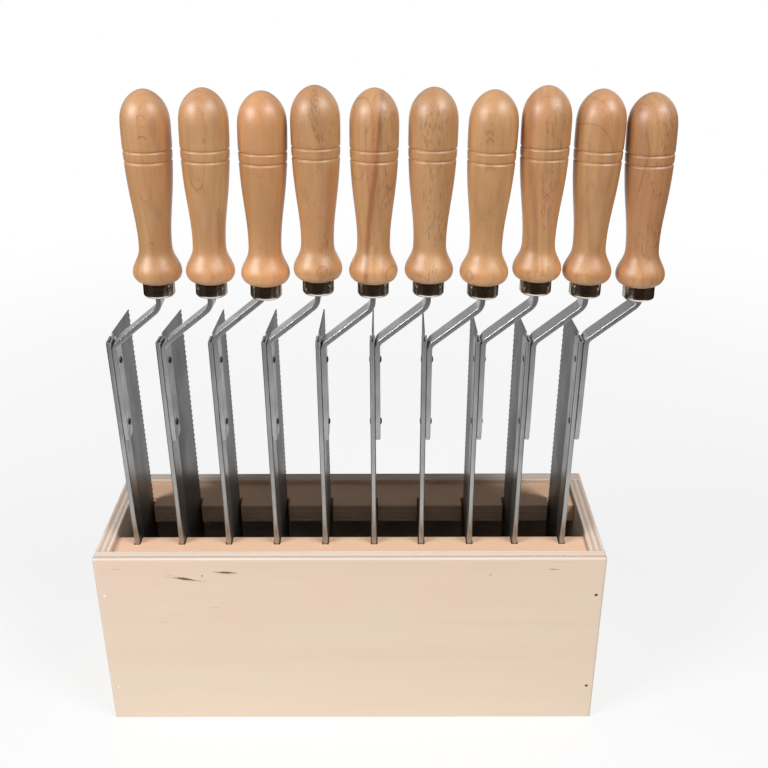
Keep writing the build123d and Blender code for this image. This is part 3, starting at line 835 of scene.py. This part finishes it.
def mesh_object(name, vertices, faces, smooth=True):
    mesh = bpy.data.meshes.new(name)
    mesh.from_pydata(vertices, [], faces)
    mesh.validate()
    mesh.polygons.foreach_set("use_smooth", [smooth] * len(mesh.polygons))
    mesh.update()
    item = bpy.data.objects.new(name, mesh)
    bpy.context.scene.collection.objects.link(item)
    return item


def sharpen(item, angle):
    """Keep edges sharper than an angle crisp under smooth shading."""
    modifier = item.modifiers.new("sharp", "EDGE_SPLIT")
    modifier.split_angle = angle
    return item


def turned(name, outline, steps=TURNING_STEPS):
    """Surface of revolution about Z from (radius, height) points; a point on the axis closes it."""
    vertices = []
    rings = []
    for radius, height in outline:
        if radius == 0:
            vertices.append((0, 0, height))
            rings.append([len(vertices) - 1])
            continue
        start = len(vertices)
        for i in range(steps):
            angle = 2 * math.pi * i / steps
            vertices.append((radius * math.cos(angle), radius * math.sin(angle), height))
        rings.append(list(range(start, start + steps)))
    faces = []
    for low, high in zip(rings, rings[1:]):
        for i in range(steps):
            j = (i + 1) % steps
            if len(low) == 1:
                faces.append((low[0], high[j], high[i]))
            elif len(high) == 1:
                faces.append((low[i], low[j], high[0]))
            else:
                faces.append((low[i], low[j], high[j], high[i]))
    return mesh_object(name, vertices, faces)


def spline_points(a, b, c, start, end, count):
    """Clamped cubic spline through three points with unit end directions, without its first point."""
    a, b, c = Vector(a), Vector(b), Vector(c)
    first, last = (b - a).length, (c - b).length
    m0, m2 = Vector(start).normalized(), Vector(end).normalized()
    pull = 3 * (last / first * (b - a) + first / last * (c - b))
    m1 = (pull - last * m0 - first * m2) / (2 * (first + last))
    points = []
    for p, q, mp, mq, length in ((a, b, m0, m1, first), (b, c, m1, m2, last)):
        for i in range(count):
            t = i / count
            points.append(
                (2 * t**3 - 3 * t**2 + 1) * p
                + (t**3 - 2 * t**2 + t) * length * mp
                + (3 * t**2 - 2 * t**3) * q
                + (t**3 - t**2) * length * mq
            )
    points.append(c)
    return [tuple(point) for point in points[1:]]


def handle_outline():
    """Half outline of the handle, from the tenon's end to the top, with its two grooves."""
    tenon = FERRULE_RADIUS - FERRULE_WALL - TENON_FIT
    foot = FERRULE_WALL + TENON_INSET
    points = [(0.0, foot), (tenon, foot), (tenon, NECK[1]), NECK]
    points += spline_points(NECK, BEAD_UNDERSIDE, BEAD, (1, 0.1), (0, 1), BEAD_STEPS)
    points += spline_points(BEAD, COVE, WAIST, (0, 1), (0, 1), COVE_STEPS)
    points += grooved(spline_points(WAIST, GRIP, SWELL, (0, 1), (0, 1), GRIP_STEPS))
    points += spline_points(SWELL, DOME, HANDLE_TOP, (0, 1), (-1, 0), DOME_STEPS)
    return points


def grooved(points):
    """The outline with each groove cut in: a V with a round bottom and softly broken lips."""
    plain = [p for p in points if not in_groove(p[1])]
    cuts = []
    for height in GROOVE_HEIGHTS:
        radius = radius_at(points, height)
        for share, depth in GROOVE_PROFILE:
            across = share * GROOVE_HALF_WIDTH
            if share == 1.0:
                across += GROOVE_LIP
            for side in (-1, 1) if share else (1,):
                cuts.append((radius - depth * GROOVE_DEPTH, height + side * across))
    return sorted(plain + cuts, key=lambda p: p[1])


def in_groove(height):
    half_width = GROOVE_HALF_WIDTH + 1.5 * GROOVE_LIP
    return any(abs(height - groove) < half_width for groove in GROOVE_HEIGHTS)


def radius_at(points, height):
    """Radius of an outline at a height between two of its points."""
    for low, high in zip(points, points[1:]):
        if low[1] <= height <= high[1]:
            share = (height - low[1]) / (high[1] - low[1])
            return low[0] + share * (high[0] - low[0])
    return points[-1][0]


def ferrule_outline():
    """Closed half outline of the ferrule: mouth, rolled lower lip, outer wall and inside."""
    mouth = [
        (FERRULE_MOUTH, FERRULE_MOUTH_ROUND),
        (FERRULE_MOUTH + 0.3 * FERRULE_MOUTH_ROUND, 0.3 * FERRULE_MOUTH_ROUND),
        (FERRULE_MOUTH + FERRULE_MOUTH_ROUND, 0.0),
    ]
    lip = []
    for i in range(FERRULE_LIP_STEPS + 1):
        angle = math.pi / 2 * i / FERRULE_LIP_STEPS
        radius = FERRULE_RADIUS - FERRULE_LIP + FERRULE_LIP * math.sin(angle)
        lip.append((radius, FERRULE_LIP - FERRULE_LIP * math.cos(angle)))
    outer = [
        (FERRULE_RADIUS, FERRULE_LENGTH - FERRULE_RIM),
        (FERRULE_RADIUS - FERRULE_RIM, FERRULE_LENGTH),
    ]
    inner_radius = FERRULE_RADIUS - FERRULE_WALL
    inner = [
        (inner_radius, FERRULE_LENGTH),
        (inner_radius, FERRULE_WALL),
        (FERRULE_MOUTH, FERRULE_WALL),
    ]
    loop = mouth + lip + outer + inner
    return loop + [loop[0]]


def turned_by(vector, angle):
    """A vector in the XZ plane, turned from X towards Z."""
    cos, sin = math.cos(angle), math.sin(angle)
    return Vector((vector.x * cos - vector.y * sin, vector.x * sin + vector.y * cos))


def bend(before, corner, after, radius):
    """Points and directions along the arc that rounds a corner between two straight runs."""
    into = (corner - before).normalized()
    out = (after - corner).normalized()
    turn = math.acos(max(-1, min(1, into.dot(out))))
    start = corner - into * radius * math.tan(turn / 2)
    side = 1 if into.cross(out) > 0 else -1
    centre = start + Vector((-into.y, into.x)) * side * radius
    points = []
    for k in range(BEND_STEPS + 1):
        angle = side * turn * k / BEND_STEPS
        points.append((centre + turned_by(start - centre, angle), turned_by(into, angle)))
    return points


def bar_path(index):
    """Points and directions along the bar in the saw's XZ plane: a run, a bend, a slope, a bend, a run."""
    far = reach(index)
    lower_z = SPINE_LENGTH - BEND_DROP + BEND_RISES[index] * MM
    upper_z = lower_z + (far - BAR_X) * math.tan(CRANK_ANGLE)
    top = max(ferrule_z(index) + BAR_TOP_OVERLAP, upper_z + UPPER_BEND_REACH + BEND_END_SPARE)
    foot, lower = Vector((BAR_X, BAR_BOTTOM)), Vector((BAR_X, lower_z))
    upper, end = Vector((far, upper_z)), Vector((far, top))
    straight_up = Vector((0, 1))
    points = [(foot, straight_up)]
    for height in BAR_RINGS:
        points.append((foot + straight_up * height, straight_up))
    points += bend(foot, lower, upper, LOWER_BEND_RADIUS)
    points += bend(lower, upper, end, UPPER_BEND_RADIUS)
    points.append((end, straight_up))
    return points


def bar_section(thickness, front, back):
    """Rounded rectangle: offsets across the bar's thickness and Y places, counter-clockwise."""
    half = thickness / 2
    corner = BAR_CORNER
    section = []
    for sx, sy, start in ((1, 0, -90), (1, 1, 0), (-1, 1, 90), (-1, 0, 180)):
        centre = Vector((sx * (half - corner), (back - corner) if sy else (front + corner)))
        for k in range(BAR_CORNER_STEPS + 1):
            angle = math.radians(start + 90 * k / BAR_CORNER_STEPS)
            spot = centre + Vector((math.cos(angle), math.sin(angle))) * corner
            along = Vector((-math.sin(angle), math.cos(angle))) * BAR_FLAT_START
            if k == 0:
                section.append(spot - along)
            section.append(spot)
            if k == BAR_CORNER_STEPS:
                section.append(spot + along)
    return section


def bar_mesh(index):
    """The cranked bar: a rounded flat section swept along its path, its lower end tapered and clipped."""
    vertices = []
    rings = []
    for place, heading in bar_path(index):
        height = place.y - BAR_BOTTOM
        front, back = BAR_FRONT, BAR_FRONT + BAR_WIDTH
        thickness = BAR_THICKNESS
        if height < BAR_TAPER_LENGTH:
            front += BAR_TAPER_DEPTH * (1 - height / BAR_TAPER_LENGTH)
        if height < BAR_CLIP_LENGTH:
            back -= BAR_CLIP_DEPTH * (1 - height / BAR_CLIP_LENGTH)
        if height < BAR_TIP_LENGTH:
            thickness *= BAR_TIP_SHARE
        normal = Vector((heading.y, -heading.x))
        start = len(vertices)
        for across, y in bar_section(thickness, front, back):
            spot = place + normal * across
            vertices.append((spot.x, y, spot.y))
        rings.append(range(start, len(vertices)))
    count = len(rings[0])
    faces = [tuple(reversed(rings[0])), tuple(rings[-1])]
    for low, high in zip(rings, rings[1:]):
        for i in range(count):
            j = (i + 1) % count
            faces.append((low[i], low[j], high[j], high[i]))
    return mesh_object("crank_bar_" + tag(index), vertices, faces)


def rivet_mesh(index, number, drop):
    """Round head over the bar, shank, and the low hammered tail on the spine's far side."""
    right = SPINE_THICKNESS / 2 + BAR_THICKNESS
    left = -SPINE_THICKNESS / 2
    angles = [math.pi / 2 * i / RIVET_DOME_STEPS for i in range(RIVET_DOME_STEPS + 1)]
    outline = []
    for angle in angles:
        outline.append((RIVET_HEAD_RADIUS * math.sin(angle), left - RIVET_TAIL_HEIGHT * math.cos(angle)))
    outline += [(RIVET_SHANK_RADIUS, left), (RIVET_SHANK_RADIUS, right)]
    for angle in reversed(angles):
        outline.append((RIVET_HEAD_RADIUS * math.sin(angle), right + RIVET_HEAD_HEIGHT * math.cos(angle)))
    item = turned(f"rivet_{tag(index)}_{number}", outline, RIVET_TURNING_STEPS)
    turn = Matrix.Rotation(math.pi / 2, 4, "Y")
    spot = Matrix.Translation((0, RIVET_Y, SPINE_LENGTH - drop))
    item.data.transform(spot @ turn)
    return item


def place_piece(item, matrix, index, material):
    """Set a saw's piece in place, on its body, with its material."""
    item.data.materials.append(material)
    item.matrix_world = matrix
    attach(item, "saw_" + tag(index))


def build_saws():
    bar_steel = steel(
        "crank_bar", srgb(184, 185, 188), srgb(170, 172, 174), (700, 700, 60), 0.31,
        patch_scale=130.0, relief=0.0015 * MM, edge=0.8,
    )
    rivet_steel = steel("rivet_steel", srgb(92, 90, 88), srgb(60, 58, 56), (500, 500, 500), 0.42)
    spine_steel = steel(
        "spine_sheet", srgb(176, 178, 177), srgb(164, 166, 164), (900, 900, 40), 0.32,
        patch_scale=70.0, edge=0.7,
    )
    blade_steel = steel(
        "blade_sheet", srgb(144, 143, 142), srgb(134, 133, 131), (900, 60, 900), 0.36,
        patch_scale=45.0, edge=0.5,
    )
    plating = nickel()
    for index in range(SAW_COUNT):
        number = tag(index)
        wood = sharpen(turned("handle_wood_" + number, handle_outline()), TURNED_SHARP)
        place_piece(wood, handle_place(index), index, beech(index))
        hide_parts("handle_" + number)
        cap = sharpen(turned("ferrule_cap_" + number, ferrule_outline()), TURNED_SHARP)
        place_piece(cap, handle_place(index), index, plating)
        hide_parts("ferrule_" + number)
        bar = sharpen(bar_mesh(index), BAR_SHARP)
        place_piece(bar, saw_place(index), index, bar_steel)
        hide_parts("crank_" + number)
        for i, drop in enumerate(RIVET_DROPS):
            pin = rivet_mesh(index, i + 1, drop)
            place_piece(pin, saw_place(index), index, rivet_steel)
        dress("spine_" + number, spine_steel)
        dress("blade_" + number, blade_steel)


# Stage

# Camera solved from the photograph's box edges
CAMERA_PLACE = (22.5 * MM, -555.0 * MM, 488.2 * MM)
CAMERA_PITCH = math.radians(25.994)
CAMERA_YAW = math.radians(-0.1523)
CAMERA_ROLL = math.radians(-0.1911)
CAMERA_FOCAL_PIXELS = 1021.5
CAMERA_RANGE = (0.01, 50)
IMAGE_PIXELS = 768
SENSOR = 36.0

# Softboxes: place, size and power
SOFTBOX_AIM = (0, 0, 0.18)
SOFTBOXES = {
    "softbox_left": ((-1.17, -0.78, 1.15), (0.7, 0.6), 23.0),
    "softbox_right": ((0.95, -0.72, 1.48), (0.75, 0.6), 20.4),
}
AMBIENT = 0.112

# The floor's own glow grows between two distances from the object
FLOOR_HALF = 8.0
FLOOR_DROP = 0.2 * MM
FLOOR_COLOR = (0.8, 0.8, 0.8, 1)
FLOOR_GLOW = (0.3, 1.1, 0.78, 1.0)

# Cards that only glossy surfaces reflect: path of (x, y) points, bottom and top, colour
# and glow
DARK_CARD = (0.058, 0.043, 0.031, 1)
CARD_SIDE = 0.45
CARD_FRONT = -0.47
CARD_BACK = 0.35
CARD_FAR = 0.8
CARD_BOTTOM = 0.002
CARDS = {
    "dark_card": (
        [
            (-CARD_SIDE, CARD_BACK), (-CARD_SIDE, CARD_FRONT),
            (CARD_SIDE, CARD_FRONT), (CARD_SIDE, CARD_BACK),
        ],
        CARD_BOTTOM, 0.42, DARK_CARD, 0.0,
    ),
    "dark_strip_left": (
        [(-CARD_SIDE, CARD_BACK), (-CARD_SIDE, CARD_FAR)], CARD_BOTTOM, 0.14, DARK_CARD, 0.0,
    ),
    "dark_strip_right": (
        [(CARD_SIDE, CARD_BACK), (CARD_SIDE, CARD_FAR)], CARD_BOTTOM, 0.14, DARK_CARD, 0.0,
    ),
    "grey_card": ([(-1.2, 1.2), (0.5, 1.2)], 0.46, 1.3, WHITE, 0.42),
}


def add_camera():
    data = bpy.data.cameras.new("camera")
    data.sensor_width = SENSOR
    data.lens = SENSOR * CAMERA_FOCAL_PIXELS / IMAGE_PIXELS
    data.clip_start, data.clip_end = CAMERA_RANGE
    item = bpy.data.objects.new("camera", data)
    bpy.context.scene.collection.objects.link(item)
    level = Matrix.Rotation(math.pi / 2 - CAMERA_PITCH, 3, "X")
    turn = Matrix.Rotation(-CAMERA_YAW, 3, "Z") @ level @ Matrix.Rotation(CAMERA_ROLL, 3, "Z")
    item.matrix_world = Matrix.Translation(CAMERA_PLACE) @ turn.to_4x4()
    bpy.context.scene.camera = item


def add_softbox(name, place, size, power):
    data = bpy.data.lights.new(name, "AREA")
    data.shape = "RECTANGLE"
    data.size, data.size_y = size
    data.energy = power
    item = bpy.data.objects.new(name, data)
    bpy.context.scene.collection.objects.link(item)
    aim = Vector(SOFTBOX_AIM) - Vector(place)
    turn = aim.to_track_quat("-Z", "Y").to_matrix().to_4x4()
    item.matrix_world = Matrix.Translation(place) @ turn


def joined(nodes, links, operation, a, b):
    """Output of a math node over two others."""
    node = nodes.new("ShaderNodeMath")
    node.operation = operation
    links.new(a, node.inputs[0])
    links.new(b, node.inputs[1])
    return node.outputs[0]


def seen_directly(nodes, links):
    """Factor that is 1 for rays from the camera, from gloss and through glass."""
    rays = nodes.new("ShaderNodeLightPath").outputs
    either = joined(nodes, links, "MAXIMUM", rays["Is Camera Ray"], rays["Is Glossy Ray"])
    return joined(nodes, links, "MAXIMUM", either, rays["Is Transmission Ray"])


def light_world():
    """White where it is seen directly, and a faint light on the object."""
    world = bpy.data.worlds.new("studio")
    world.use_nodes = True
    bpy.context.scene.world = world
    nodes, links = world.node_tree.nodes, world.node_tree.links
    nodes.clear()
    background = nodes.new("ShaderNodeBackground")
    background.inputs["Color"].default_value = WHITE
    output = nodes.new("ShaderNodeOutputWorld")
    strength = nodes.new("ShaderNodeMapRange")
    strength.inputs["To Min"].default_value = AMBIENT
    strength.inputs["To Max"].default_value = 1.0
    links.new(seen_directly(nodes, links), strength.inputs["Value"])
    links.new(strength.outputs[0], background.inputs["Strength"])
    links.new(background.outputs[0], output.inputs[0])


def floor_material():
    """Pale matt floor that fades to plain white away from the object."""
    material = new_material("floor")
    nodes, links = material.node_tree.nodes, material.node_tree.links
    output = nodes.new("ShaderNodeOutputMaterial")
    matt = nodes.new("ShaderNodeBsdfDiffuse")
    matt.inputs["Color"].default_value = FLOOR_COLOR
    glow = nodes.new("ShaderNodeEmission")
    glow.inputs["Strength"].default_value = 1.0
    place = nodes.new("ShaderNodeTexCoord")
    distance = nodes.new("ShaderNodeVectorMath")
    distance.operation = "LENGTH"
    links.new(place.outputs["Object"], distance.inputs[0])
    fade = nodes.new("ShaderNodeMapRange")
    fade.interpolation_type = "SMOOTHSTEP"
    for name, value in zip(RANGE_INPUTS, FLOOR_GLOW):
        fade.inputs[name].default_value = value
    links.new(distance.outputs["Value"], fade.inputs["Value"])
    share = joined(nodes, links, "MULTIPLY", fade.outputs[0], seen_directly(nodes, links))
    blend = nodes.new("ShaderNodeMixShader")
    links.new(share, blend.inputs[0])
    links.new(matt.outputs[0], blend.inputs[1])
    links.new(glow.outputs[0], blend.inputs[2])
    links.new(blend.outputs[0], output.inputs[0])
    return material


def add_floor():
    half = FLOOR_HALF
    corners = [(-half, -half, 0), (half, -half, 0), (half, half, 0), (-half, half, 0)]
    floor = mesh_object("floor", corners, [(0, 1, 2, 3)], smooth=False)
    floor.data.materials.append(floor_material())
    floor.location.z = -FLOOR_DROP


def add_card(name, path, bottom, top, color, glow):
    """Folded upright card that only glossy surfaces reflect."""
    corners = [(x, y, z) for z in (bottom, top) for x, y in path]
    count = len(path)
    faces = [(i, i + 1, i + 1 + count, i + count) for i in range(count - 1)]
    card = mesh_object(name, corners, faces, smooth=False)
    material = new_material(name)
    nodes, links = material.node_tree.nodes, material.node_tree.links
    output = nodes.new("ShaderNodeOutputMaterial")
    if glow:
        surface = nodes.new("ShaderNodeEmission")
        surface.inputs["Strength"].default_value = glow
    else:
        surface = nodes.new("ShaderNodeBsdfDiffuse")
    surface.inputs["Color"].default_value = color
    links.new(surface.outputs[0], output.inputs[0])
    card.data.materials.append(material)
    card.visible_camera = False
    card.visible_diffuse = False
    card.visible_shadow = False


def set_stage():
    bpy.context.scene.view_settings.view_transform = "Standard"
    add_camera()
    light_world()
    add_floor()
    for name, card in CARDS.items():
        add_card(name, *card)
    for name, softbox in SOFTBOXES.items():
        add_softbox(name, *softbox)


dress_box()
build_saws()
set_stage()
